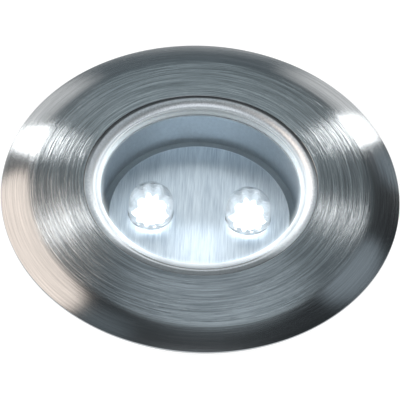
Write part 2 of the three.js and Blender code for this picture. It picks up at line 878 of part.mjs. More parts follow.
// The light from top to bottom
addPiece('bezel_ring', makeBezel(), brushedSteel);
addPiece('deck_gasket', makeDeckGasket(), darkRubber);
addPiece('rim_seal', ring(cupBore, cupOuter, cupRim, deckTop, largeSides), darkRubber);
addPiece('lens_collar', makeCollar(), satinSteel);
addPiece('collar_seal', makeRingSeal(), darkRubber);
addPiece('lens', makeLens(), clearPlastic);
addPiece('lens_gasket', makeLensGasket(), clearSilicone);
addPiece('reflector_plate', makeReflectorPlate(), reflectorSheet);
addPiece('plate_gasket', makePlateGasket(), darkRubber);
for (const [name, side] of sides) {
  addPiece(`led_${name}`, makeLed(side), clearEpoxy);
  addPiece(`led_${name}_cathode`, makeCathode(side), tinnedWire);
  addPiece(`led_${name}_anode`, makeAnode(side), tinnedWire);
}
addPiece('led_carrier', makeCarrier(), blackNylon);
addPiece('circuit_board', makeBoard(), boardMask);
addPiece('series_resistor', makeResistor(), resistorBlue);
addPiece('bridge_rectifier', makeRectifier(), moulding);
addPiece('smoothing_capacitor', makeCapacitor(), capacitorSleeve);
addPiece('housing', makeHousing(), blackNylon);
addPiece('base_gasket', ring(barrelBore, barrelOuter, coverTop, barrelBottom, largeSides), darkRubber);
addPiece('base_cover', makeCover(), blackNylon);
for (const [name, end] of [['front', -1], ['back', 1]]) {
  addPiece(`base_screw_${name}`, makeScrew(end), platedSteel);
}
addPiece('gland_body', makeGlandBody(), blackNylon);
addPiece('gland_seal', makeGlandSeal(), darkRubber);
addPiece('gland_nut', makeGlandNut(), blackNylon);
addPiece('gland_lock_nut', makeLockNut(), blackNylon);
for (const [name, side] of sides) {
  addPiece(`clip_${name}`, facing(makeClip(), side), springSteel);
  addPiece(`clip_rivet_${name}`, facing(makeRivet(), side), platedSteel);
}

export default light;
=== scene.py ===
# %% [markdown]
# # A recessed garden light, dressed for its portrait
#
# The real thing is a small deck light: a brushed steel ring that lies on the boards, a clear disc in a
# satin collar, and two clear LEDs standing in a shallow metal well. Under the ring hangs a dark moulded
# body with two spring clips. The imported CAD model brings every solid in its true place, in metres, with
# the origin on the deck surface. This script gives each solid its finish, replaces the parts that are
# seen close up by finer meshes of the same form, and lights the whole like a small product photograph.
# The plain materials that come with the solids are removed, because every piece gets its own finish.

import json
import math

import bmesh
import bpy
from mathutils import Matrix, Vector


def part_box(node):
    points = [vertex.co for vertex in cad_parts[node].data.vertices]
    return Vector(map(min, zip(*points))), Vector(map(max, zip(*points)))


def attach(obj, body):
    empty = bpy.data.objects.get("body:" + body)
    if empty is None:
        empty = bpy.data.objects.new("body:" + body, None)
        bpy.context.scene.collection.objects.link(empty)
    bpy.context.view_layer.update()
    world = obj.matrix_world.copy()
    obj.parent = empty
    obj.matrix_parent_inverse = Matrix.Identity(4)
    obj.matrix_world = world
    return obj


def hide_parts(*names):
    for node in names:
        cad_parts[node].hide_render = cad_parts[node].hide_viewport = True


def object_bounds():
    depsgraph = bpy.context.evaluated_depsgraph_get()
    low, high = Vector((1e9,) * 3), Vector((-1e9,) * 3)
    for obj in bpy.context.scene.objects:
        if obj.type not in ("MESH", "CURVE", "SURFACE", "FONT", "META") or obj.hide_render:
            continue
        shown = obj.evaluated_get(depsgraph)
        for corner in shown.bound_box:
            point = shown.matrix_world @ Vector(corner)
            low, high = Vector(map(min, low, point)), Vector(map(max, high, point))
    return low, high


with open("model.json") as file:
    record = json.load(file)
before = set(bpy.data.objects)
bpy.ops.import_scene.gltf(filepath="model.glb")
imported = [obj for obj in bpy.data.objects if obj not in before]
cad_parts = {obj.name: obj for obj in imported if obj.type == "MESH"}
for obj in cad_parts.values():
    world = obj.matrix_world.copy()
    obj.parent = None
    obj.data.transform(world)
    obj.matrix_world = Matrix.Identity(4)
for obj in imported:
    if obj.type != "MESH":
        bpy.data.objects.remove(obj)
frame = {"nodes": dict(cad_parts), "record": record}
cad_low, cad_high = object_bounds()
nodes = frame["nodes"]
for plain in list(bpy.data.materials):
    bpy.data.materials.remove(plain)
MM = 0.001
print("CAD nodes:", len(nodes))
print("CAD box in mm:", [round(v / MM, 2) for v in (*cad_low, *cad_high)])

# %% [markdown]
# ## The camera
#
# The photograph was taken from the front, about fifty degrees above the deck, from roughly thirty
# centimetres away. The far rim and the near rim of the ring differ a little in size, which fixes that
# distance, and the picture leans by three degrees. So the camera is built from three directions: where
# it looks, what is right and what is up in the picture, with the lean already in them.

# %% Place the camera
scene = bpy.context.scene
scene.view_settings.view_transform = "Standard"
DISTANCE = 320 * MM
ELEVATION = math.radians(50.04)
LEAN = math.radians(3.07)
PIXELS = 400
FOCAL_PIXELS = 2843
SENSOR_WIDTH = 36
FACE_MIDDLE = round(cad_high.z / MM, 2) - 0.4
TARGET = Vector((0, 0, 1.0 * MM))
TARGET_PIXEL = (200.8, 187.5)

ahead = Vector((0, math.cos(ELEVATION), -math.sin(ELEVATION)))
level_up = Vector((0, math.sin(ELEVATION), math.cos(ELEVATION)))
level_right = Vector((1, 0, 0))
picture_right = level_right * math.cos(LEAN) + level_up * math.sin(LEAN)
picture_up = level_up * math.cos(LEAN) - level_right * math.sin(LEAN)
place = TARGET - ahead * DISTANCE
per_pixel = DISTANCE / FOCAL_PIXELS
aim = TARGET - picture_right * (TARGET_PIXEL[0] - PIXELS / 2) * per_pixel
aim = aim - picture_up * (PIXELS / 2 - TARGET_PIXEL[1]) * per_pixel
looking = (aim - place).normalized()
side = looking.cross(picture_up).normalized()
camera_data = bpy.data.cameras.new("portrait_camera")
camera_data.sensor_width = SENSOR_WIDTH
camera_data.lens = FOCAL_PIXELS / PIXELS * SENSOR_WIDTH
camera_data.clip_start = 0.01
camera_data.clip_end = 20
camera = bpy.data.objects.new("portrait_camera", camera_data)
scene.collection.objects.link(camera)
turn = Matrix((side, side.cross(looking), -looking)).transposed()
camera.matrix_world = Matrix.Translation(place) @ turn.to_4x4()
scene.camera = camera
print("camera", [round(v, 4) for v in place], "lens", round(camera_data.lens, 1), "mm")


def ring_point(around, radius):
    """A point on the ring's face, by its angle in degrees and its radius in millimetres."""
    around = math.radians(around)
    return Vector((radius * math.cos(around), radius * math.sin(around), FACE_MIDDLE)) * MM


def mirrored(around, tilt, radius):
    """Where the camera looks after a mirror there that is tilted outwards by some degrees."""
    turned, tilt = math.radians(around), math.radians(tilt)
    outward = Vector((math.cos(turned), math.sin(turned), 0))
    normal = outward * math.sin(tilt) + Vector((0, 0, math.cos(tilt)))
    sight = (ring_point(around, radius) - place).normalized()
    return (sight - 2 * sight.dot(normal) * normal).normalized()


# %% [markdown]
# ## Sizes shared by the pieces
#
# The light's own sizes, in millimetres. Heights count from the deck surface. What a solid's box shows
# is taken from the frame, and the rest follows from it and from a few lengths: widths, rises, walls and
# gaps. The disc, the plate and the domes are up to 0.14 mm wider in radius than the solids, which
# closes hairline gaps that the photograph doesn't show.

# %% Boxes of the solids
def corners(node):
    """The lowest and the highest corner of a solid in millimetres, to the nearest hundredth."""
    low, high = ([round(value / MM, 2) for value in corner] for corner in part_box(node))
    print(node, "from", low, "to", high)
    return low, high


bezel_low, bezel_high = corners("bezel_ring")
deck_gasket_high = corners("deck_gasket")[1]
collar_low, collar_high = corners("lens_collar")
lens_gasket_low = corners("lens_gasket")[0]
lens_low, lens_high = corners("lens")
plate_low, plate_high = corners("reflector_plate")
led_low, led_high = corners("led_right")

# %% Sizes of the bezel ring
EDGE_HEIGHT = 0.2
BEVEL_WIDTH = 3.15
BEVEL_RISE = 0.85
OVERHANG = 8.6
NECK_WALL = 0.72
SWELL_RISE = 0.105
SWELL_INWARD = 0.065
GASKET_WIDTH = 2.8
GASKET_SIDE_GAP = 0.15
GASKET_TOP_GAP = 0.05
SEAT_GAP = 0.1
EDGE_RADIUS = bezel_high[0]
FACE_TOP = bezel_high[2]
NECK_FOOT = bezel_low[2]
NECK_RADIUS = EDGE_RADIUS - OVERHANG
BORE_RADIUS = NECK_RADIUS - NECK_WALL
CREASE_RADIUS = EDGE_RADIUS - BEVEL_WIDTH
CREASE_HEIGHT = EDGE_HEIGHT + BEVEL_RISE
SWELL_RADIUS = (CREASE_RADIUS + BORE_RADIUS) / 2 - SWELL_INWARD
SWELL_HEIGHT = (CREASE_HEIGHT + FACE_TOP) / 2 + SWELL_RISE
GROOVE_OUTER = deck_gasket_high[0] + GASKET_SIDE_GAP
GROOVE_INNER = deck_gasket_high[0] - GASKET_WIDTH - GASKET_SIDE_GAP
GROOVE_TOP = deck_gasket_high[2] + GASKET_TOP_GAP

# %% Sizes of the collar, the lens and the plate
LIP_GAP = 0.05
LIP_WIDTH = 1.28
LIP_DROP = 0.62
LEDGE_WIDTH = 0.55
WELL_TAPER = 0.2
JOINT_FILL = 0.14
LIP_RADIUS = BORE_RADIUS - LIP_GAP
LIP_TOP = collar_high[2]
LIP_FOOT = LIP_TOP - LIP_DROP
POCKET_RADIUS = LIP_RADIUS - LIP_WIDTH
LEDGE = lens_gasket_low[2]
WELL_TOP_RADIUS = POCKET_RADIUS - LEDGE_WIDTH
WELL_FOOT_RADIUS = WELL_TOP_RADIUS - WELL_TAPER
WELL_FOOT = collar_low[2]
FLANGE_RADIUS = collar_high[0]
FLANGE_TOP = NECK_FOOT - SEAT_GAP
LENS_RADIUS = lens_high[0] + JOINT_FILL
LENS_TOP = lens_high[2]
LENS_FOOT = lens_low[2]
PLATE_RADIUS = plate_high[0] + JOINT_FILL
PLATE_TOP = plate_high[2]
PLATE_FOOT = plate_low[2]
print("pocket radius", round(POCKET_RADIUS, 2), "lens radius", round(LENS_RADIUS, 2))

# %% Sizes of the LEDs
LED_LENS_RADIUS = 2.5
DOME_FILL = 0.06
LED_HOLE_GAP = 0.12
LED_RIM_HEIGHT = 1.0
LED_RADIUS = LED_LENS_RADIUS + DOME_FILL
HOLE_RADIUS = LED_LENS_RADIUS + LED_HOLE_GAP
LED_RIM_RADIUS = led_high[1]
LED_X = (led_low[0] + led_high[0]) / 2
LED_APEX = led_high[2]
LED_FOOT = led_low[2]
print("LEDs at", round(LED_X, 2), "mm on both sides")

# %% [markdown]
# ## Tools for node groups
#
# Several finishes share the same effects: turned lines, straight lines, a moulded grain, fine dust. Each
# effect is a node group, built once. A small helper makes the group's sockets and hands back its nodes,
# so that the cells below only say how the effect itself is put together.

# %% Helpers for shader nodes
def new_group(name, inputs, outputs):
    """A shader node group with these number inputs and outputs."""
    tree = bpy.data.node_groups.new(name, "ShaderNodeTree")
    for label, value in inputs.items():
        socket = tree.interface.new_socket(label, in_out="INPUT", socket_type="NodeSocketFloat")
        socket.default_value = value
    for label in outputs:
        tree.interface.new_socket(label, in_out="OUTPUT", socket_type="NodeSocketFloat")
    start = tree.nodes.new("NodeGroupInput")
    end = tree.nodes.new("NodeGroupOutput")
    return tree, start, end


def feed(tree, value, socket):
    """Links an output to a socket, or writes a plain number into it."""
    if isinstance(value, (int, float)):
        socket.default_value = value
    else:
        tree.links.new(value, socket)


def sum_node(tree, operation, *values):
    """One Math node with its inputs fed, giving back its output."""
    node = tree.nodes.new("ShaderNodeMath")
    node.operation = operation
    for socket, value in zip(node.inputs, values):
        feed(tree, value, socket)
    return node.outputs[0]


def vector_from(tree, x, y, z):
    node = tree.nodes.new("ShaderNodeCombineXYZ")
    for socket, value in zip(node.inputs, (x, y, z)):
        feed(tree, value, socket)
    return node.outputs[0]


def noise_node(tree, vector, scale, detail, roughness):
    node = tree.nodes.new("ShaderNodeTexNoise")
    node.inputs["Detail"].default_value = detail
    node.inputs["Roughness"].default_value = roughness
    feed(tree, scale, node.inputs["Scale"])
    tree.links.new(vector, node.inputs["Vector"])
    return node.outputs["Fac"]


def spread_node(tree, value, low, high, new_low=0.0, new_high=1.0):
    """Maps low..high to new_low..new_high, and holds the ends."""
    node = tree.nodes.new("ShaderNodeMapRange")
    node.clamp = True
    feed(tree, value, node.inputs["Value"])
    feed(tree, low, node.inputs["From Min"])
    feed(tree, high, node.inputs["From Max"])
    feed(tree, new_low, node.inputs["To Min"])
    feed(tree, new_high, node.inputs["To Max"])
    return node.outputs["Result"]


def object_place(tree):
    """Where the shaded point lies on the object: the whole vector, and its x, y and z."""
    where = tree.nodes.new("ShaderNodeTexCoord").outputs["Object"]
    split = tree.nodes.new("ShaderNodeSeparateXYZ")
    tree.links.new(where, split.inputs[0])
    return where, split.outputs


def off_axis(tree, x, y):
    """The flat vector from the axis to the shaded point, and its length."""
    flat = vector_from(tree, x, y, 0)
    length = tree.nodes.new("ShaderNodeVectorMath")
    length.operation = "LENGTH"
    tree.links.new(flat, length.inputs[0])
    return flat, length.outputs["Value"]


# %% [markdown]
# ## Turned lines
#
# A ring that is held against an abrasive pad while it spins gets thousands of fine arcs round its axis.
# Seen in polar coordinates, an arc is long in angle and very thin in radius. So the noise is read at a
# point made of the unit direction from the axis, which changes slowly, and the radius, which is scaled
# up a lot. There is no seam, because the direction comes back to itself after a full turn. Three sizes
# of noise are mixed: broad bands, fine lines, and a few deep scratches.

# %% Group: turned lines
def make_turned_lines():
    tree, start, end = new_group(
        "turned_lines",
        {"Lines": 7000.0, "Arc": 2.6},
        ("Fine", "Broad", "Scratch"),
    )
    x, y = object_place(tree)[1][:2]
    flat, radius = off_axis(tree, x, y)
    unit = tree.nodes.new("ShaderNodeVectorMath")
    unit.operation = "NORMALIZE"
    tree.links.new(flat, unit.inputs[0])
    unit_split = tree.nodes.new("ShaderNodeSeparateXYZ")
    tree.links.new(unit.outputs[0], unit_split.inputs[0])
    for label, line_share, arc_share, detail in (
        ("Fine", 1.0, 1.0, 3.0),
        ("Broad", 0.18, 0.5, 2.0),
        ("Scratch", 0.55, 1.7, 2.0),
    ):
        arc = sum_node(tree, "MULTIPLY", start.outputs["Arc"], arc_share)
        lines = sum_node(tree, "MULTIPLY", start.outputs["Lines"], line_share)
        point = vector_from(
            tree,
            sum_node(tree, "MULTIPLY", unit_split.outputs[0], arc),
            sum_node(tree, "MULTIPLY", unit_split.outputs[1], arc),
            sum_node(tree, "MULTIPLY", radius, lines),
        )
        value = noise_node(tree, point, 1.0, detail, 0.62)
        if label == "Scratch":
            value = spread_node(tree, value, 0.68, 0.78)
        tree.links.new(value, end.inputs[label])
    return tree


turned_lines = make_turned_lines()

# %% [markdown]
# ## Straight lines
#
# The well's floor is punched from a sheet that was brushed in one direction, from front to back. The
# noise is squeezed along that direction, so that each cell becomes a long straight hair line.

# %% Group: straight lines
def make_straight_lines():
    tree, start, end = new_group(
        "straight_lines",
        {"Across": 9000.0, "Along": 420.0},
        ("Fine", "Broad"),
    )
    x, y, z = object_place(tree)[1]
    for label, share, detail in (("Fine", 1.0, 3.0), ("Broad", 0.16, 2.0)):
        across = sum_node(tree, "MULTIPLY", start.outputs["Across"], share)
        along = sum_node(tree, "MULTIPLY", start.outputs["Along"], share)
        point = vector_from(
            tree,
            sum_node(tree, "MULTIPLY", x, across),
            sum_node(tree, "MULTIPLY", y, along),
            sum_node(tree, "MULTIPLY", z, start.outputs["Along"]),
        )
        tree.links.new(noise_node(tree, point, 1.0, detail, 0.6), end.inputs[label])
    return tree


straight_lines = make_straight_lines()

# %% [markdown]
# ## Grain and dust
#
# A moulded part shows the spark texture of its mould, and a blasted part shows tiny dimples. Both are
# fine noise at a given size. Dust and finger marks are much larger and softer, and mostly change how
# sharp the gloss is.

# %% Group: grain and dust
def make_grain():
    tree, start, end = new_group(
        "fine_grain",
        {"Grain": 6000.0, "Patches": 260.0},
        ("Grain", "Patches"),
    )
    where = object_place(tree)[0]
    grain = noise_node(tree, where, start.outputs["Grain"], 3.0, 0.65)
    patches = noise_node(tree, where, start.outputs["Patches"], 3.0, 0.55)
    tree.links.new(grain, end.inputs["Grain"])
    tree.links.new(spread_node(tree, patches, 0.3, 0.7), end.inputs["Patches"])
    return tree


fine_grain = make_grain()
print("groups:", [g.name for g in bpy.data.node_groups])

# %% [markdown]
# ## Helpers for finishes
#
# Each finish starts from one Principled shader. The plain numbers are written straight on its sockets,
# and only what changes over the surface is linked: the colour between two tints, the roughness between
# two values, and the height of a bump.

# %% Helpers for materials
def new_finish(name, **plain):
    """A material with a Principled shader, whose named sockets get these plain values."""
    material = bpy.data.materials.new(name)
    material.use_nodes = True
    tree = material.node_tree
    shader = tree.nodes["Principled BSDF"]
    for label, value in plain.items():
        shader.inputs[label.replace("_", " ")].default_value = value
    return material, tree, shader


def place_group(tree, group, **values):
    node = tree.nodes.new("ShaderNodeGroup")
    node.node_tree = group
    for label, value in values.items():
        node.inputs[label.replace("_", " ")].default_value = value
    return node


def tint(tree, shader, mask, dark, light):
    """Base colour between two tints, by a mask."""
    mix = tree.nodes.new("ShaderNodeMix")
    mix.data_type = "RGBA"
    mix.inputs["A"].default_value = (*dark, 1)
    mix.inputs["B"].default_value = (*light, 1)
    tree.links.new(mask, mix.inputs["Factor"])
    tree.links.new(mix.outputs["Result"], shader.inputs["Base Color"])


def roughen(tree, shader, mask, low, high):
    tree.links.new(spread_node(tree, mask, 0.0, 1.0, low, high), shader.inputs["Roughness"])


def relief(tree, shader, height, depth):
    """A bump of this depth in metres, fed by a height between 0 and 1."""
    bump = tree.nodes.new("ShaderNodeBump")
    bump.inputs["Strength"].default_value = 1.0
    bump.inputs["Distance"].default_value = depth
    tree.links.new(height, bump.inputs["Height"])
    tree.links.new(bump.outputs["Normal"], shader.inputs["Normal"])


def blend(tree, first, second, first_share):
    """Two masks added by their shares, which make one."""
    return sum_node(tree, "ADD", sum_node(tree, "MULTIPLY", first, first_share),
                    sum_node(tree, "MULTIPLY", second, 1 - first_share))


# %% [markdown]
# ## Brushed steel for the bezel
#
# Brushed metal reflects a light as a streak across its lines. The shader's anisotropy does this: the
# tangent follows the turning direction, and the shine is spread across it. The face is scratched more
# coarsely than the outer bevel, which was only touched by the pad, so the bevel gets finer and shallower
# lines.

# %% Finish: turned steel
def turned_steel(name, dark, light, rough, lines, arc, depth):
    material, tree, shader = new_finish(name, Metallic=1.0, Anisotropic=0.8, Anisotropic_Rotation=0.25)
    group = place_group(tree, turned_lines, Lines=lines, Arc=arc)
    mixed = blend(tree, group.outputs["Fine"], group.outputs["Broad"], 0.75)
    tint(tree, shader, spread_node(tree, mixed, 0.36, 0.64), dark, light)
    roughen(tree, shader, group.outputs["Broad"], *rough)
    cuts = sum_node(tree, "MULTIPLY", group.outputs["Scratch"], 0.5)
    relief(tree, shader, sum_node(tree, "SUBTRACT", group.outputs["Fine"], cuts), depth)
    tangent = tree.nodes.new("ShaderNodeTangent")
    tangent.direction_type = "RADIAL"
    tangent.axis = "Z"
    tree.links.new(tangent.outputs[0], shader.inputs["Tangent"])
    return material


steel_face = turned_steel("steel_face", dark=(0.35, 0.37, 0.38), light=(0.70, 0.72, 0.73),
                          rough=(0.13, 0.17), lines=7000, arc=2.6, depth=0.00002)
steel_bevel = turned_steel("steel_bevel", dark=(0.46, 0.48, 0.49), light=(0.62, 0.64, 0.65),
                           rough=(0.14, 0.17), lines=9000, arc=2.4, depth=0.000005)

# %% [markdown]
# ## Satin steel for the collar
#
# The collar's lip is finely blasted, so it has no direction: its highlight is broad and a little grainy.
# Inside the well the same ring is darker and duller, and the plate's cut edge is brighter than both.

# %% Finish: satin steel
def satin_steel(name, dark, light, rough, grain_size, depth):
    material, tree, shader = new_finish(name, Metallic=1.0)
    group = place_group(tree, fine_grain, Grain=grain_size, Patches=300.0)
    tint(tree, shader, spread_node(tree, group.outputs["Grain"], 0.3, 0.7), dark, light)
    roughen(tree, shader, group.outputs["Patches"], *rough)
    relief(tree, shader, group.outputs["Grain"], depth)
    return material


steel_lip = satin_steel("steel_lip", dark=(0.58, 0.61, 0.64), light=(0.88, 0.91, 0.94),
                        rough=(0.28, 0.34), grain_size=5600, depth=0.00002)
cut_edge = satin_steel("cut_edge", dark=(0.80, 0.84, 0.88), light=(0.90, 0.93, 0.96),
                       rough=(0.15, 0.25), grain_size=3000, depth=0.000002)
steel_well = satin_steel("steel_well", dark=(0.36, 0.42, 0.47), light=(0.44, 0.51, 0.56),
                         rough=(0.42, 0.50), grain_size=2600, depth=0.000002)

# %% [markdown]
# ## The reflector sheet
#
# The well's floor is brushed in straight lines along Y. Its tangent comes from a UV map whose first
# direction runs across the brushing, so the LEDs' shine is smeared sideways, as on a real brushed sheet.

# %% Finish: reflector sheet
def reflector_finish():
    material, tree, shader = new_finish("reflector_sheet", Metallic=1.0, Anisotropic=0.8)
    group = place_group(tree, straight_lines, Across=8000.0, Along=380.0)
    mixed = blend(tree, group.outputs["Fine"], group.outputs["Broad"], 0.65)
    tint(tree, shader, spread_node(tree, mixed, 0.36, 0.64), (0.56, 0.64, 0.72), (0.86, 0.93, 0.99))
    roughen(tree, shader, group.outputs["Broad"], 0.3, 0.4)
    relief(tree, shader, mixed, 0.000012)
    tangent = tree.nodes.new("ShaderNodeTangent")
    tangent.direction_type = "UV_MAP"
    tangent.uv_map = "brushing"
    tree.links.new(tangent.outputs[0], shader.inputs["Tangent"])
    return material


reflector_sheet = reflector_finish()

# %% [markdown]
# ## Clear parts
#
# Each LED is cast in clear epoxy, and the gasket under the lens is clear silicone. Both are transmitting
# shaders with a real refractive index. A trace of dust changes their roughness so little that it only
# shows in a highlight. The lens is clear too, but it also glows near its rim, so it comes further down.

# %% Finish: clear epoxy and silicone
def clear_finish(name, colour, index, rough, clear=1.0):
    material, tree, shader = new_finish(name, Metallic=0.0, IOR=index, Transmission_Weight=clear)
    group = place_group(tree, fine_grain, Grain=2500.0, Patches=420.0)
    tint(tree, shader, group.outputs["Patches"], tuple(c * 0.985 for c in colour), colour)
    roughen(tree, shader, group.outputs["Patches"], *rough)
    return material


clear_epoxy = clear_finish("clear_epoxy", (0.97, 0.985, 1.0), index=1.52, rough=(0.0, 0.02))
clear_silicone = clear_finish("clear_silicone", (0.93, 0.96, 0.98), index=1.41, rough=(0.4, 0.55), clear=0.6)

# %% [markdown]
# ## The lit heart of an LED
#
# A lit LED is far brighter than anything round it, and the camera sees its cup as a white ball with
# short rays. The glow is a material that gives off light, a little unevenly. The halo round it is
# weaker, bluer and almost clear.

# %% Finish: glow
def glow_finish(name, colour, **plain):
    material, tree, shader = new_finish(name, Metallic=0.0, Roughness=0.5, **plain)
    shader.inputs["Base Color"].default_value = (0.02, 0.02, 0.02, 1)
    group = place_group(tree, fine_grain, Grain=1500.0, Patches=600.0)
    mix = tree.nodes.new("ShaderNodeMix")
    mix.data_type = "RGBA"
    mix.inputs["A"].default_value = (*(c * 0.92 for c in colour), 1)
    mix.inputs["B"].default_value = (*colour, 1)
    tree.links.new(group.outputs["Patches"], mix.inputs["Factor"])
    tree.links.new(mix.outputs["Result"], shader.inputs["Emission Color"])
    return material


glow_core = glow_finish("glow_core", (0.93, 0.97, 1.0), Emission_Strength=6.0)
glow_halo = glow_finish("glow_halo", (0.80, 0.91, 1.0), Emission_Strength=1.6, Alpha=0.11)

# %% [markdown]
# ## The lens's ground edge
#
# The rim of the disc is ground, not polished, so it scatters the light that travels inside the plastic.
# Here that scattered light is painted: the rim and the disc's top beside it give off a painted glow of
# their own. It glows most beside the LEDs, and less with the square of the distance from them, and more
# on the near side than on the far side. It is strongest at the rim's upper corner and fades from there
# both ways: outwards over the bevel and inwards over the disc's own top. The same painted glow lies on
# the satin lip outside the disc, brightest at the foot of its roll.
#
# The lip's narrow gaps are closed in the mesh, and their shade is painted on the lip instead, as dark
# lines: the one to the ring on the far side, and the one to the disc on the near side, where the outer
# half of the lip is painted darker too.

# %% Finish: ground edge and the disc beside it
EVEN_GLOW = 0.15
FULL_GLOW_AT = 4.6 * MM
GLOW_SOURCE_HEIGHT = (LED_APEX - 0.11) * MM
FAR_SIDE_SHARE = 0.42
SIDE_REACH = (LENS_RADIUS - 0.34) * MM


def make_rim_glow():
    """How bright the painted glow is near the disc's rim: by the LEDs' distance, the radius and the side."""
    tree, start, end = new_group("painted_rim_glow", {"Inner": 0.0, "Outer": LENS_RADIUS * MM}, ("Glow",))
    where, parts = object_place(tree)
    total = EVEN_GLOW
    for led_x in (-LED_X * MM, LED_X * MM):
        apart = tree.nodes.new("ShaderNodeVectorMath")
        apart.operation = "DISTANCE"
        apart.inputs[1].default_value = (led_x, 0, GLOW_SOURCE_HEIGHT)
        tree.links.new(where, apart.inputs[0])
        steps = sum_node(tree, "DIVIDE", FULL_GLOW_AT, apart.outputs["Value"])
        total = sum_node(tree, "ADD", total, sum_node(tree, "POWER", steps, 2.0))
    x, y = parts[:2]
    radius = off_axis(tree, x, y)[1]
    rise = spread_node(tree, radius, start.outputs["Inner"], start.outputs["Outer"])
    soft = sum_node(tree, "POWER", rise, 2.0)
    # The painted glow is stronger on the near side than on the far side.
    side_share = spread_node(tree, y, SIDE_REACH, -SIDE_REACH, FAR_SIDE_SHARE, 1.0)
    glow = sum_node(tree, "MULTIPLY", sum_node(tree, "MULTIPLY", total, soft), side_share)
    tree.links.new(glow, end.inputs["Glow"])
    return tree


painted_rim_glow = make_rim_glow()


def glow_colour(tree, shader, glow, strength):
    """Feeds a painted glow to the emission, a little bluish."""
    parts = [sum_node(tree, "MULTIPLY", glow, strength * share) for share in (0.92, 0.98, 1.0)]
    tree.links.new(vector_from(tree, *parts), shader.inputs["Emission Color"])


def ground_edge_finish():
    material, tree, shader = new_finish("ground_edge", IOR=1.49, Transmission_Weight=0.4,
                                        Emission_Strength=1.0)
    group = place_group(tree, fine_grain, Grain=5200.0, Patches=700.0)
    tint(tree, shader, group.outputs["Grain"], (0.50, 0.54, 0.58), (0.60, 0.64, 0.68))
    roughen(tree, shader, group.outputs["Patches"], 0.4, 0.6)
    inner, outer = (LENS_RADIUS + 0.36) * MM, (LENS_RADIUS - 0.44) * MM
    # Painted light: the ground edge gives off a glow of its own for the LEDs' scattered light.
    glow = place_group(tree, painted_rim_glow, Inner=inner, Outer=outer)
    patchy = spread_node(tree, group.outputs["Patches"], 0.0, 1.0, 0.85, 1.15)
    glow_colour(tree, shader, sum_node(tree, "MULTIPLY", glow.outputs["Glow"], patchy), 2.3)
    return material


ground_edge = ground_edge_finish()


def glowing_lens_finish():
    material, tree, shader = new_finish("clear_lens", Metallic=0.0, IOR=1.49, Transmission_Weight=1.0,
                                        Emission_Strength=1.0)
    group = place_group(tree, fine_grain, Grain=2500.0, Patches=420.0)
    tint(tree, shader, group.outputs["Patches"], (0.955, 0.97, 0.975), (0.97, 0.985, 0.99))
    roughen(tree, shader, group.outputs["Patches"], 0.0, 0.03)
    inner, outer = (LENS_RADIUS - 1.09) * MM, (LENS_RADIUS - 0.43) * MM
    # Painted light: the disc's top beside its rim gets the same painted glow, weaker.
    glow = place_group(tree, painted_rim_glow, Inner=inner, Outer=outer)
    glow_colour(tree, shader, glow.outputs["Glow"], 0.58)
    return material


clear_lens = glowing_lens_finish()


def painted_joint_shade(tree):
    """Painted shade at the lip's joints: with the ring on the far side, with the disc on the near side."""
    x, y = object_place(tree)[1][:2]
    radius = off_axis(tree, x, y)[1]
    crest, pocket = LIP_RADIUS * MM, POCKET_RADIUS * MM
    # Painted shade: the gaps' shadow on the far and near sides, and a darker outer half on the near side.
    far_side = spread_node(tree, y, -2 * MM, 6 * MM)
    ring_joint = spread_node(tree, radius, crest - 0.41 * MM, crest - 0.23 * MM)
    near_side = spread_node(tree, y, -8.5 * MM, -10.5 * MM)
    disc_joint = spread_node(tree, radius, pocket + 0.47 * MM, pocket + 0.31 * MM)
    outer_half = spread_node(tree, radius, pocket + 0.63 * MM, pocket + 0.77 * MM, 0.0, 0.65)
    far = sum_node(tree, "MULTIPLY", far_side, ring_joint)
    near = sum_node(tree, "MULTIPLY", near_side, sum_node(tree, "ADD", disc_joint, outer_half))
    return spread_node(tree, sum_node(tree, "ADD", far, near), 0.0, 1.0, 1.0, 0.15)


def paint_lip_light_and_shade(material):
    """Paints on the satin lip the glow that leaves the disc's rim, and paints shade at its joints."""
    tree = material.node_tree
    shader = tree.nodes["Principled BSDF"]
    shader.inputs["Emission Strength"].default_value = 1.0
    inner, outer = (LIP_RADIUS + 0.57) * MM, (POCKET_RADIUS + 0.05) * MM
    glow = place_group(tree, painted_rim_glow, Inner=inner, Outer=outer)
    shade = painted_joint_shade(tree)
    # Painted light on the lip, dimmed by the painted shade; below, the same painted shade darkens its base
    # colour.
    glow_colour(tree, shader, sum_node(tree, "MULTIPLY", glow.outputs["Glow"], shade), 1.0)
    scaled = tree.nodes.new("ShaderNodeVectorMath")
    scaled.operation = "SCALE"
    tree.links.new(shader.inputs["Base Color"].links[0].from_socket, scaled.inputs[0])
    tree.links.new(shade, scaled.inputs["Scale"])
    tree.links.new(scaled.outputs["Vector"], shader.inputs["Base Color"])


paint_lip_light_and_shade(steel_lip)

# %% [markdown]
# ## Rubber, nylon and the small parts
#
# The rest is quieter: matt rubber seals, glass-filled nylon with its mould texture, spring steel, zinc
# on the screws, and the parts on the circuit board. Each row gives a dark and a light tint, the least
# and most roughness, the grain's fineness and its depth in metres.

# %% Finishes: plain parts
def quiet_finish(name, dark, light, rough, grain_size, depth, **plain):
    material, tree, shader = new_finish(name, **plain)
    group = place_group(tree, fine_grain, Grain=grain_size, Patches=350.0)
    mixed = blend(tree, group.outputs["Grain"], group.outputs["Patches"], 0.6)
    tint(tree, shader, spread_node(tree, mixed, 0.3, 0.7), dark, light)
    roughen(tree, shader, group.outputs["Patches"], *rough)
    relief(tree, shader, group.outputs["Grain"], depth)
    return material


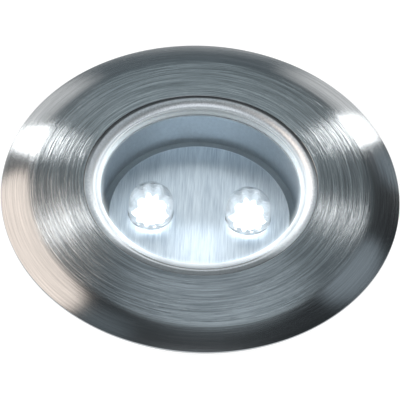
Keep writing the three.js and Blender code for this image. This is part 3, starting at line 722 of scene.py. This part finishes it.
quiet = {}
for name, *look in (
    ("dark_rubber", (0.012, 0.014, 0.016), (0.03, 0.034, 0.038), (0.6, 0.8), 5000, 0.00002),
    ("black_nylon", (0.012, 0.012, 0.013), (0.026, 0.026, 0.028), (0.42, 0.6), 4200, 0.00003),
    ("pale_nylon", (0.60, 0.64, 0.67), (0.70, 0.74, 0.77), (0.4, 0.55), 4200, 0.00002),
    ("board_mask", (0.42, 0.47, 0.52), (0.52, 0.57, 0.62), (0.3, 0.45), 2200, 0.00001),
    ("well_rubber", (0.16, 0.20, 0.23), (0.20, 0.25, 0.28), (0.5, 0.7), 5000, 0.00002),
    ("resistor_blue", (0.14, 0.28, 0.38), (0.2, 0.37, 0.48), (0.35, 0.5), 2600, 0.00001),
    ("moulding", (0.012, 0.012, 0.013), (0.022, 0.022, 0.024), (0.5, 0.7), 4200, 0.00002),
    ("capacitor_sleeve", (0.015, 0.018, 0.028), (0.025, 0.03, 0.045), (0.25, 0.4), 2000, 0.000008),
):
    quiet[name] = quiet_finish(name, *look)
for name, *look in (
    ("spring_steel", (0.42, 0.42, 0.43), (0.62, 0.62, 0.63), (0.24, 0.36), 3000, 0.000006),
    ("plated_steel", (0.50, 0.49, 0.44), (0.70, 0.69, 0.64), (0.28, 0.42), 2600, 0.000008),
    ("tinned_wire", (0.60, 0.61, 0.62), (0.80, 0.81, 0.82), (0.2, 0.34), 2600, 0.000005),
):
    quiet[name] = quiet_finish(name, *look, Metallic=1.0)
print("quiet finishes:", sorted(quiet))

# %% [markdown]
# ## Dressing the CAD solids
#
# Every solid keeps its mesh and gets its finish by its slot in the record. Two get another finish than
# their slot has: the gasket round the plate and the LEDs' block are paler, as painted light: the
# paleness stands for the well's light that fills them.

# %% Give every CAD node its finish
by_slot = {
    "brushed_steel": steel_face,
    "satin_steel": steel_lip,
    "reflector_sheet": reflector_sheet,
    "clear_plastic": clear_lens,
    "clear_epoxy": clear_epoxy,
    "clear_silicone": clear_silicone,
    **quiet,
}
for part in frame["record"]["subparts"]:
    cad = nodes[part["node"]]
    cad.data.materials.clear()
    cad.data.materials.append(by_slot[part["material_slot"]])
# Painted light: these paler finishes stand for the well's light on the gasket and the LEDs' block.
nodes["plate_gasket"].data.materials[0] = quiet["well_rubber"]
nodes["led_carrier"].data.materials[0] = quiet["pale_nylon"]

# %% [markdown]
# ## Turning a profile
#
# Most visible pieces are turned parts. Each is made as a lathe would: a few vertices give the outline of
# the section, chosen corners are rounded with a vertex bevel, and the outline is spun once round the
# axis. Spin merges its last copy with the first, and the normals are made to point out at the end.

# %% Helpers for meshes
def finish_mesh(bm, name, body, materials, node=None, smooth_angle=15):
    """Turns a bmesh into a piece that rides on a body, and replaces a CAD node."""
    bmesh.ops.remove_doubles(bm, verts=bm.verts, dist=1e-7)
    bmesh.ops.recalc_face_normals(bm, faces=bm.faces)
    mesh = bpy.data.meshes.new(name)
    bm.to_mesh(mesh)
    bm.free()
    for material in materials:
        mesh.materials.append(material)
    mesh.shade_smooth()
    mesh.set_sharp_from_angle(angle=math.radians(smooth_angle))
    piece = bpy.data.objects.new(name, mesh)
    scene.collection.objects.link(piece)
    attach(piece, body)
    if node:
        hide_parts(node)
    print(name, len(mesh.polygons), "faces")
    return piece


def outline_loop(bm, points, rounded):
    """Joins (radius, height) points in millimetres to a closed outline. Rounds corners by their index,
    each with an offset in millimetres and a number of segments."""
    verts = [bm.verts.new((r * MM, 0, z * MM)) for r, z in points]
    for first, second in zip(verts, verts[1:] + verts[:1]):
        bm.edges.new((first, second))
    for corner, (offset, segments) in rounded.items():
        bmesh.ops.bevel(bm, geom=[verts[corner]], offset=offset * MM, offset_type="OFFSET",
                        segments=segments, profile=0.5, affect="VERTICES", material=-1)


RING_STEPS = 240
LED_STEPS = 72


def spin_round(bm, steps):
    """One full turn of everything in the mesh round the Z axis."""
    bmesh.ops.spin(bm, geom=bm.verts[:] + bm.edges[:], cent=(0, 0, 0), axis=(0, 0, 1),
                   angle=math.tau, steps=steps, use_merge=True, use_duplicate=False)


def turned_bmesh(points, rounded, steps):
    bm = bmesh.new()
    outline_loop(bm, points, rounded)
    spin_round(bm, steps)
    return bm


def disc_bmesh(radius, foot, top, segments):
    """A flat disc between two heights, all in millimetres."""
    bm = bmesh.new()
    bmesh.ops.create_circle(bm, cap_ends=True, radius=radius * MM, segments=segments)
    bmesh.ops.translate(bm, verts=bm.verts, vec=(0, 0, foot * MM))
    lid = bmesh.ops.extrude_face_region(bm, geom=bm.faces[:])
    raised = [v for v in lid["geom"] if isinstance(v, bmesh.types.BMVert)]
    bmesh.ops.translate(bm, verts=raised, vec=(0, 0, (top - foot) * MM))
    return bm


def break_rim(bm, height, offset, segments):
    """Bevels the edges that lie at one height."""
    rim = [e for e in bm.edges if all(abs(v.co.z - height * MM) < 1e-7 for v in e.verts)]
    bmesh.ops.bevel(bm, geom=rim, offset=offset * MM, offset_type="OFFSET", segments=segments,
                    profile=0.5, affect="EDGES", material=-1)


def mark_sides(bm):
    """The second finish on every face that isn't level."""
    for face in bm.faces:
        if abs(face.normal.z) < 0.99:
            face.material_index = 1


def middle_of(face):
    """A face's distance from the axis and its height, in millimetres."""
    middle = face.calc_center_median() / MM
    return math.hypot(middle.x, middle.y), middle.z


# %% [markdown]
# ## The bezel ring
#
# The outline runs up the bore, over the gently swelling face, across the soft crease, down the bevel to
# the thin edge and back under the flange, through the gasket's groove, and down the neck. The swell is
# one corner in the middle of the face, bevelled so widely that it becomes an arc. Faces outside the
# crease get the finer finish.

# %% Model the bezel ring
BORE_BREAK = (0.07, 4)
SWELL_ARC = (2.6, 12)
CREASE_ARC = (0.45, 6)
EDGE_BREAK = (0.06, 3)
NECK_BREAK = (0.12, 2)


def model_bezel():
    points = [
        (BORE_RADIUS, NECK_FOOT),
        (BORE_RADIUS, FACE_TOP),
        (SWELL_RADIUS, SWELL_HEIGHT),
        (CREASE_RADIUS, CREASE_HEIGHT),
        (EDGE_RADIUS, EDGE_HEIGHT),
        (EDGE_RADIUS, 0.0),
        (GROOVE_OUTER, 0.0),
        (GROOVE_OUTER, GROOVE_TOP),
        (GROOVE_INNER, GROOVE_TOP),
        (GROOVE_INNER, 0.0),
        (NECK_RADIUS, 0.0),
        (NECK_RADIUS, NECK_FOOT),
    ]
    rounded = {1: BORE_BREAK, 2: SWELL_ARC, 3: CREASE_ARC, 4: EDGE_BREAK, 11: NECK_BREAK}
    bm = turned_bmesh(points, rounded, RING_STEPS)
    for face in bm.faces:
        radius, height = middle_of(face)
        if radius > CREASE_RADIUS - 0.1 and height > 0.05:
            face.material_index = 1
    return finish_mesh(bm, "bezel", "light", (steel_face, steel_bevel), "bezel_ring")


model_bezel()

# %% [markdown]
# ## The collar
#
# The lip is half of a bullnose: its crest lies at the joint with the bezel, and from there it rolls
# inwards along a quarter of an ellipse and drops to the lens. Below the lens's ledge the same ring forms
# the smooth wall of the well.

# %% Model the collar
CREST_BREAK = (0.05, 3)
LEDGE_BREAK = (0.05, 2)
ROLL_STEPS = 14


def lip_roll(steps):
    """Points from the foot of the roll up to its crest."""
    points = []
    for i in range(steps + 1):
        angle = math.pi / 2 * i / steps
        points.append((
            LIP_RADIUS - (LIP_RADIUS - POCKET_RADIUS) * math.cos(angle),
            LIP_FOOT + (LIP_TOP - LIP_FOOT) * math.sin(angle),
        ))
    return points


def model_collar():
    roll = lip_roll(ROLL_STEPS)
    points = [
        (POCKET_RADIUS, LEDGE),
        *roll,
        (LIP_RADIUS, FLANGE_TOP),
        (FLANGE_RADIUS, FLANGE_TOP),
        (FLANGE_RADIUS, WELL_FOOT),
        (WELL_FOOT_RADIUS, WELL_FOOT),
        (WELL_TOP_RADIUS, LEDGE),
    ]
    crest = len(roll)
    rounded = {crest: CREST_BREAK, len(points) - 1: LEDGE_BREAK}
    bm = turned_bmesh(points, rounded, RING_STEPS)
    for face in bm.faces:
        radius, height = middle_of(face)
        if radius < POCKET_RADIUS - 0.02 and height < LEDGE + 0.02:
            face.material_index = 1
    return finish_mesh(bm, "collar", "light", (steel_lip, steel_well), "lens_collar")


model_collar()

# %% [markdown]
# ## The lens
#
# A flat disc, bevelled widely at its upper rim and barely at its lower one. Its two faces are polished,
# and its side and bevels are ground.

# %% Model the lens
LENS_STEPS = 200
LENS_BEVEL = 0.4
LENS_FOOT_BREAK = 0.06


def model_lens():
    bm = disc_bmesh(LENS_RADIUS, LENS_FOOT, LENS_TOP, LENS_STEPS)
    break_rim(bm, LENS_TOP, LENS_BEVEL, 1)
    break_rim(bm, LENS_FOOT, LENS_FOOT_BREAK, 1)
    mark_sides(bm)
    return finish_mesh(bm, "lens_disc", "light", (clear_lens, ground_edge), "lens")


model_lens()

# %% [markdown]
# ## The reflector plate
#
# A thin disc with two holes for the LEDs. A boolean cuts the holes and is applied to the mesh at once.
# The sheet's upper edge is broken by a tiny bevel. Its UV map is simply its X and Y, from which the
# finish knows the direction of the brushing.

# %% Model the reflector plate
PLATE_STEPS = 180
PLATE_BREAK = 0.1
CUTTER_LENGTH = 4


def hole_cutter(x):
    """A cylinder that stands in one of the plate's holes."""
    cut = bmesh.new()
    bmesh.ops.create_cone(cut, cap_ends=True, segments=LED_STEPS, radius1=HOLE_RADIUS * MM,
                          radius2=HOLE_RADIUS * MM, depth=CUTTER_LENGTH * MM,
                          matrix=Matrix.Translation((x * MM, 0, PLATE_TOP * MM)))
    mesh = bpy.data.meshes.new("hole_cutter")
    cut.to_mesh(mesh)
    cut.free()
    cutter = bpy.data.objects.new("hole_cutter", mesh)
    scene.collection.objects.link(cutter)
    return cutter


def model_plate():
    bm = disc_bmesh(PLATE_RADIUS, PLATE_FOOT, PLATE_TOP, PLATE_STEPS)
    break_rim(bm, PLATE_TOP, PLATE_BREAK, 3)
    mark_sides(bm)
    piece = finish_mesh(bm, "plate", "light", (reflector_sheet, cut_edge),
                        "reflector_plate")
    cutters = [hole_cutter(x) for x in (-LED_X, LED_X)]
    for cutter in cutters:
        modifier = piece.modifiers.new("hole", "BOOLEAN")
        modifier.operation = "DIFFERENCE"
        modifier.object = cutter
        modifier.solver = "EXACT"
    depsgraph = bpy.context.evaluated_depsgraph_get()
    holed = bpy.data.meshes.new_from_object(piece.evaluated_get(depsgraph))
    piece.modifiers.clear()
    piece.data = holed
    for cutter in cutters:
        bpy.data.objects.remove(cutter)
    layer = holed.uv_layers.new(name="brushing")
    for loop in holed.loops:
        point = holed.vertices[loop.vertex_index].co
        layer.data[loop.index].uv = (point.x / MM, point.y / MM)
    print("plate after its holes:", len(holed.polygons), "faces")


model_plate()

# %% [markdown]
# ## The LEDs
#
# Each LED is one clear casting: a rim flange, a straight wall and a dome. The half outline is spun round
# the axis, with the dome as one corner bevelled by almost the full radius, and then moved to its place.
# The heart is a bright ball over the die cup with short rays all round, inside four thin shells of the
# same shape that let most light through: together they give it a soft edge, and the dome magnifies
# them. A ball's two numbers are its radius in millimetres and the length of its rays as a share of it.

# %% Model the LEDs
DOME_STEPS = 18
DOME_FLAT = 0.02


def model_led(name, x):
    bm = bmesh.new()
    points = [
        (0.0, LED_FOOT),
        (LED_RIM_RADIUS, LED_FOOT),
        (LED_RIM_RADIUS, LED_FOOT + LED_RIM_HEIGHT),
        (LED_RADIUS, LED_FOOT + LED_RIM_HEIGHT),
        (LED_RADIUS, LED_APEX),
        (0.0, LED_APEX),
    ]
    verts = [bm.verts.new((r * MM, 0, z * MM)) for r, z in points]
    for first, second in zip(verts, verts[1:]):
        bm.edges.new((first, second))
    bmesh.ops.bevel(bm, geom=[verts[4]], offset=(LED_RADIUS - DOME_FLAT) * MM, offset_type="OFFSET",
                    segments=DOME_STEPS, profile=0.5, affect="VERTICES", material=-1)
    spin_round(bm, LED_STEPS)
    bmesh.ops.translate(bm, verts=bm.verts, vec=(x * MM, 0, 0))
    return finish_mesh(bm, f"{name}_dome", "light", (clear_epoxy,), name)


GLOW_HEIGHT = LED_APEX - 3.51
GLOW_STRETCH = 1.5
RAY_COUNT = 34
RAY_SHARPNESS = 60
CORE = (0.82, 0.38)
SHELLS = ((0.95, 0.42), (1.12, 0.38), (1.34, 0.28), (1.6, 0.15))


def ray_ways(count):
    """Directions spread evenly over a ball, along a spiral from pole to pole."""
    ways = []
    for i in range(count):
        height = 1 - (2 * i + 1) / count
        around = i * math.pi * (3 - math.sqrt(5))
        reach = math.sqrt(1 - height * height)
        ways.append(Vector((reach * math.cos(around), reach * math.sin(around), height)))
    return ways


def star_shell(bm, radius, depth, ways, material_index):
    """A ball that swells into short rays, like the rays of a bright lamp."""
    made = bmesh.ops.create_icosphere(bm, subdivisions=5, radius=radius * MM)
    for vert in made["verts"]:
        outward = vert.co.normalized()
        nearest = max(outward.dot(way) for way in ways)
        vert.co *= 1 + depth * max(nearest, 0) ** RAY_SHARPNESS
    for face in {f for v in made["verts"] for f in v.link_faces}:
        face.material_index = material_index


def model_glow(name, x):
    bm = bmesh.new()
    ways = ray_ways(RAY_COUNT)
    star_shell(bm, *CORE, ways, 0)
    for radius, depth in SHELLS:
        star_shell(bm, radius, depth, ways, 1)
    bmesh.ops.scale(bm, verts=bm.verts, vec=(1, 1, GLOW_STRETCH))
    bmesh.ops.translate(bm, verts=bm.verts, vec=(x * MM, 0, GLOW_HEIGHT * MM))
    return finish_mesh(bm, f"{name}_glow", "light", (glow_core, glow_halo), None, 180)


for led_name, led_x in (("led_left", -LED_X), ("led_right", LED_X)):
    model_led(led_name, led_x)
    model_glow(led_name, led_x)

# %% [markdown]
# ## The floor
#
# A grey floor lies under the light and takes its soft shadow. The camera and the reflections see it
# lifted towards white, as the paper sweep of a product photograph is.

# %% Make the floor
FLOOR_RADIUS = 3.0
FLOOR_GAP = 0.05 * MM
WHITE_LIFT = 0.93


def make_floor(height):
    bm = bmesh.new()
    bmesh.ops.create_circle(bm, cap_ends=True, radius=FLOOR_RADIUS, segments=64)
    bmesh.ops.translate(bm, verts=bm.verts, vec=(0, 0, height))
    mesh = bpy.data.meshes.new("floor")
    bm.to_mesh(mesh)
    bm.free()
    material, tree, shader = new_finish("floor_paper", Roughness=0.9, Specular_IOR_Level=0.0)
    shader.inputs["Base Color"].default_value = (0.3, 0.3, 0.3, 1)
    rays = tree.nodes.new("ShaderNodeLightPath").outputs
    mirrored_rays = sum_node(tree, "MAXIMUM", rays["Is Glossy Ray"], rays["Is Transmission Ray"])
    seen = sum_node(tree, "MAXIMUM", rays["Is Camera Ray"], mirrored_rays)
    shader.inputs["Emission Color"].default_value = (1, 1, 1, 1)
    feed(tree, sum_node(tree, "MULTIPLY", seen, WHITE_LIFT), shader.inputs["Emission Strength"])
    mesh.materials.append(material)
    floor = bpy.data.objects.new("floor", mesh)
    scene.collection.objects.link(floor)


make_floor(cad_low.z - FLOOR_GAP)

# %% [markdown]
# ## The surroundings
#
# What metal looks like is what it mirrors. The surroundings are a grey studio with a dark ceiling, a
# white floor up to the horizon, a large pale card on the camera's side, warm cards for the left bevel
# and grey ones for the rest of the ring. Each area is a soft round patch in a direction, mixed over
# what is there: the direction is either plain, or the one that a place on the ring mirrors. A row gives
# the direction, the degrees from it up to which the patch is full and beyond which it is gone, and its
# colour.

# %% Build the world
world = bpy.data.worlds.new("studio")
scene.world = world
world.use_nodes = True
sky = world.node_tree
background = sky.nodes["Background"]
heading = sky.nodes.new("ShaderNodeTexCoord").outputs["Generated"]


def soft_patch(base, direction, inner, outer, colour):
    """Mixes a colour over base, full within inner degrees of the direction and gone beyond outer."""
    dot = sky.nodes.new("ShaderNodeVectorMath")
    dot.operation = "DOT_PRODUCT"
    sky.links.new(heading, dot.inputs[0])
    dot.inputs[1].default_value = Vector(direction).normalized()
    full, gone = (math.cos(math.radians(angle)) for angle in (inner, outer))
    mask = spread_node(sky, dot.outputs["Value"], gone, full)
    mix = sky.nodes.new("ShaderNodeMix")
    mix.data_type = "RGBA"
    sky.links.new(mask, mix.inputs["Factor"])
    sky.links.new(base, mix.inputs["A"])
    mix.inputs["B"].default_value = (*colour, 1)
    return mix.outputs["Result"]


PATCHES = (
    # the dark ceiling, and the pale card on the camera's side
    ((0, 0.42, 0.91), 48, 64, (0.03, 0.034, 0.037)),
    ((0, -0.75, 0.66), 22, 42, (0.80, 0.83, 0.87)),
    # what the ring's face mirrors: level parts, far side, far right, inner far side, near side twice
    (mirrored(0, 0, 0), 18, 23, (0.155, 0.185, 0.20)),
    (mirrored(90, 13, 19), 19, 25, (0.125, 0.152, 0.17)),
    (mirrored(57, 8, 17), 5, 10, (0.08, 0.10, 0.11)),
    (mirrored(95, 3.5, 12), 7, 11, (0.47, 0.55, 0.585)),
    (mirrored(280, 8.5, 18), 9.5, 12, (0.64, 0.73, 0.78)),
    (mirrored(275, 5.0, 14), 6, 10, (0.32, 0.37, 0.41)),
    # what the bevel mirrors: grey at the near right, near left and right, bright at both far sides,
    # and warm at the left
    (mirrored(328, 17, 21), 7.5, 10.5, (0.32, 0.37, 0.41)),
    (mirrored(242, 20.5, 21), 3, 10, (0.16, 0.19, 0.21)),
    (mirrored(13, 20.5, 21), 3, 7, (0.24, 0.29, 0.33)),
    (mirrored(43, 20, 22), 6, 11, (0.9, 0.9, 0.9)),
    (mirrored(149, 20, 22), 6, 11, (0.9, 0.9, 0.9)),
    (mirrored(200, 20.5, 21), 14.5, 17, (1.52, 1.31, 1.17)),
    (mirrored(214, 20.5, 21), 13.5, 16, (1.52, 1.31, 1.17)),
    # two bright cards low behind the light, and the white floor up to the horizon
    ((0.73, 0.66, 0.20), 11, 15, (1.1, 1.1, 1.1)),
    ((-0.72, 0.66, 0.22), 12, 16, (1.3, 1.3, 1.3)),
    ((0, 0, -1), 91.5, 96, (1.0, 1.0, 1.0)),
)
studio_grey = sky.nodes.new("ShaderNodeRGB")
studio_grey.outputs[0].default_value = (0.30, 0.32, 0.34, 1)
tone = studio_grey.outputs[0]
for direction, inner, outer, colour in PATCHES:
    tone = soft_patch(tone, direction, inner, outer, colour)
sky.links.new(tone, background.inputs["Color"])
background.inputs["Strength"].default_value = 1.0
print("patches in the surroundings:", len(PATCHES))

# %% [markdown]
# ## The lamps
#
# Four narrow soft boxes stand behind and beside the light, each where the ring mirrors it to the camera:
# each draws one of the bright fans on the brushed ring. Two small ellipses just under the disc stand
# for the LEDs' light that its underside throws back down: the wide one fills the well, and the narrow
# one makes the bright glare between and before the LEDs on the brushed floor.

# %% Place the lamps
def area_lamp(name, shape, width, depth, power):
    """A flat lamp of this size in metres and power in watts."""
    data = bpy.data.lights.new(name, "AREA")
    data.shape = shape
    data.size = width
    data.size_y = depth
    data.energy = power
    lamp = bpy.data.objects.new(name, data)
    scene.collection.objects.link(lamp)
    return lamp


def soft_box(name, around, tilt, radius, across, along, power):
    """A lamp a metre away, where the ring mirrors it at this angle, tilt and radius."""
    lamp = area_lamp(name, "RECTANGLE", across, along, power)
    way = mirrored(around, tilt, radius)
    step = mirrored(around, tilt + 1, radius) - mirrored(around, tilt - 1, radius)
    upright = (step - step.dot(way) * way).normalized()
    turn = Matrix((upright.cross(way), upright, way)).transposed()
    lamp.matrix_world = Matrix.Translation(ring_point(around, radius) + way) @ turn.to_4x4()


BOUNCE_HEIGHT = LENS_FOOT - 0.2


def bounce_light(name, y, width, depth, power):
    """Light that the underside of the lens throws back down into the well. Sizes in millimetres."""
    lamp = area_lamp(name, "ELLIPSE", width * MM, depth * MM, power)
    lamp.data.color = (0.94, 0.97, 1.0)
    lamp.location = (0, y * MM, BOUNCE_HEIGHT * MM)


bounce_light("bounce_middle", y=-1.0, width=5.5, depth=6.5, power=0.0001)
bounce_light("bounce_wide", y=0, width=21, depth=21, power=0.0005)
soft_box("box_right_back", around=30, tilt=14.8, radius=21, across=0.10, along=0.30, power=0.49)
soft_box("box_left_back", around=163, tilt=14.8, radius=21, across=0.10, along=0.30, power=0.49)
soft_box("box_left", around=204, tilt=6.2, radius=16, across=0.05, along=0.19, power=0.085)
soft_box("box_right", around=347.5, tilt=5.4, radius=16, across=0.04, along=0.16, power=0.05)
